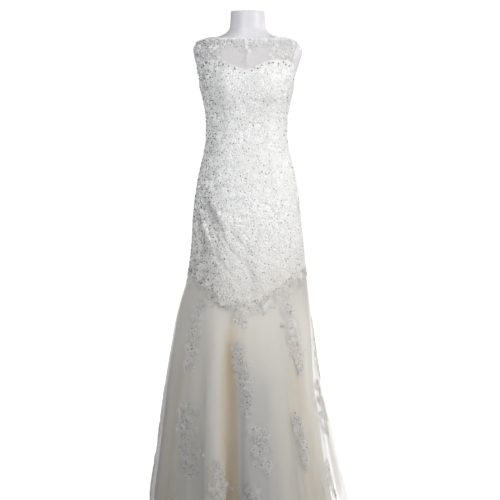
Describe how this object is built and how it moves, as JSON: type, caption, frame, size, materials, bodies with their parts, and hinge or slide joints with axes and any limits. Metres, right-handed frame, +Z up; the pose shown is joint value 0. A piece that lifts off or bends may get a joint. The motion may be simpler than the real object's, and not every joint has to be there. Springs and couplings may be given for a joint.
{
  "type": "wedding dress on dress form",
  "caption": "Sleeveless trumpet wedding dress in beaded lace with a sheer net yoke and a tulle skirt over satin, on a limbless dress form with a round stand.",
  "frame": {"origin": "centre of the round stand's underside, on the floor", "axes": "+Z up along the pole, -Y the front of the dress, +X the wearer's left"},
  "size_m": [0.7145, 0.837, 1.725],
  "materials": {
    "lace": "beaded lace over satin, soft sheen",
    "net": "sheer net with lace motifs",
    "tulle": "sheer matte tulle",
    "satin": "cream satin, soft gloss",
    "form_shell": "smooth satin-gloss shell",
    "steel": "fine brushed"
  },
  "bodies": {
    "root": {"body_front": "lace", "body_side_front_left": "lace", "body_side_front_right": "lace", "body_side_back_left": "lace", "body_side_back_right": "lace", "body_back_left": "lace", "body_back_right": "lace", "yoke_front": "net", "yoke_back_left": "net", "yoke_back_right": "net", "skirt_tulle_front": "tulle", "skirt_tulle_back": "tulle", "skirt_lining_front": "satin", "skirt_lining_back": "satin", "placket": "satin", "button_01": "satin", "button_02": "satin", "button_03": "satin", "button_04": "satin", "button_05": "satin", "button_06": "satin", "button_07": "satin", "button_08": "satin", "button_09": "satin", "button_10": "satin", "button_11": "satin", "button_12": "satin", "button_13": "satin", "button_14": "satin", "spray_01": "lace", "spray_02": "lace", "spray_03": "lace", "spray_04": "lace", "spray_05": "lace", "spray_06": "lace", "spray_07": "lace", "spray_08": "lace", "spray_09": "lace", "spray_10": "lace", "spray_11": "lace", "spray_12": "lace", "spray_13": "lace", "spray_14": "lace", "spray_15": "lace", "spray_16": "lace", "spray_17": "lace", "spray_18": "lace", "spray_19": "lace", "form_torso": "form_shell", "stand_base": "steel", "stand_pole": "steel", "stand_collar": "steel"}
  },
  "joints": []
}
